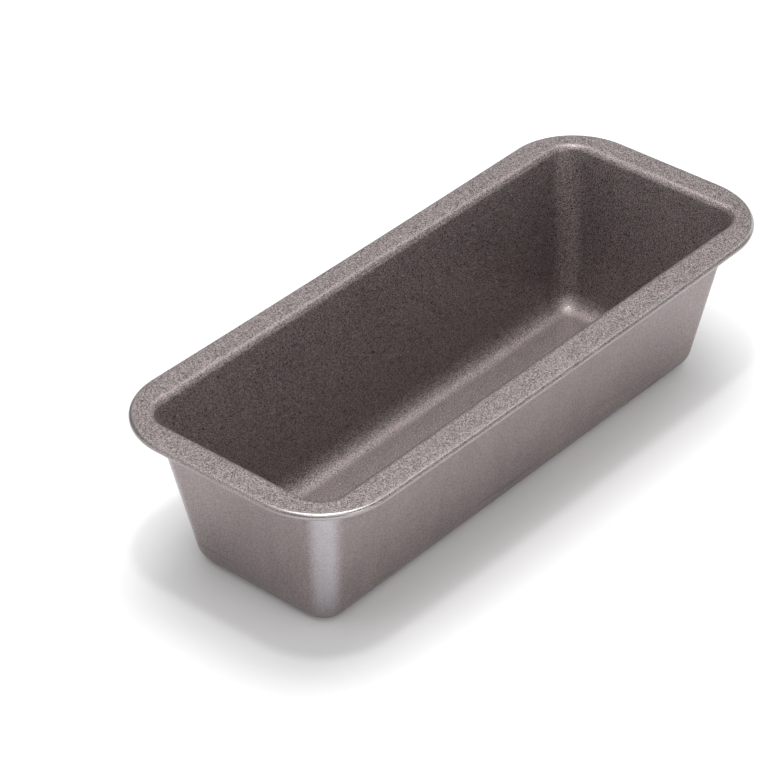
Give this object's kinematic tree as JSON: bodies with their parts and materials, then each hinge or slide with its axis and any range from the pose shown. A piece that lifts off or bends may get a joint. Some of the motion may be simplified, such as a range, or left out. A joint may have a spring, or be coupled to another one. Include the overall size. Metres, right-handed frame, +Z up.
{
  "type": "loaf pan",
  "caption": "Long deep baking pan with sloping walls, rounded corners and a flat rim, for baking bread or cake loaves.",
  "frame": {"origin": "on the surface the pan stands on, under the centre of its flat floor", "axes": "+X along the pan's length, +Y across its width, +Z up out of its open top"},
  "size_m": [0.3, 0.122, 0.075],
  "materials": {
    "sheet_steel": "bare cut edge of thin cold-rolled steel sheet",
    "nonstick_coating": "finely grained non-stick bake coating, warm grey-beige, slightly glossy",
    "outside_lacquer": "smooth satin bake lacquer, taupe grey with faint drawing streaks"
  },
  "bodies": {
    "root": {"steel_shell": "sheet_steel", "nonstick_lining": "nonstick_coating", "outer_lacquer": "outside_lacquer", "floor_lacquer": "outside_lacquer"}
  },
  "joints": []
}
